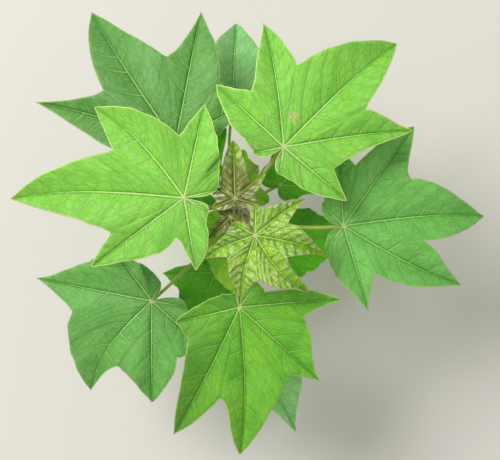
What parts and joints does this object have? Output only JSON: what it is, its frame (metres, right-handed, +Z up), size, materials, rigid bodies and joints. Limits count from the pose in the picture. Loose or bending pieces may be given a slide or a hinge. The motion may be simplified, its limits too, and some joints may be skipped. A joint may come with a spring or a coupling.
{
  "type": "jatropha seedling",
  "caption": "Young jatropha plant: one upright soft stem with a spiral of long-stalked, star-shaped leaves, the youngest small and bronze at the top.",
  "frame": {"origin": "middle of the flat cut under the stem, at ground level", "axes": "+Z up along the stem; +Y towards the top of the picture and +X towards its right, as the camera looks straight down"},
  "size_m": [0.4612, 0.4345, 0.3406],
  "materials": {
    "stem": "soft green bark, satin",
    "stalk": "smooth, satin",
    "old_blade": "thin leaf, satin",
    "blade": "thin leaf, satin",
    "young_blade": "thin young leaf, glossy"
  },
  "bodies": {
    "root": {"stem": "stem", "shoot_tip": "young_blade", "stalk_01": "stalk", "stalk_02": "stalk", "stalk_03": "stalk", "stalk_04": "stalk", "stalk_05": "stalk", "stalk_06": "stalk", "stalk_07": "stalk", "stalk_08": "stalk", "stalk_09": "stalk", "stalk_10": "stalk", "stalk_11": "stalk", "stalk_12": "stalk", "stalk_13": "stalk", "stalk_14": "stalk", "stalk_15": "stalk", "stalk_16": "stalk", "stalk_17": "stalk", "blade_01": "old_blade", "blade_02": "old_blade", "blade_03": "old_blade", "blade_04": "old_blade", "blade_05": "old_blade", "blade_06": "old_blade", "blade_07": "old_blade", "blade_08": "old_blade", "blade_09": "old_blade", "blade_10": "old_blade", "blade_11": "old_blade", "blade_12": "blade", "blade_13": "blade", "blade_14": "blade", "blade_15": "young_blade", "blade_16": "young_blade", "blade_17": "young_blade"}
  },
  "joints": []
}
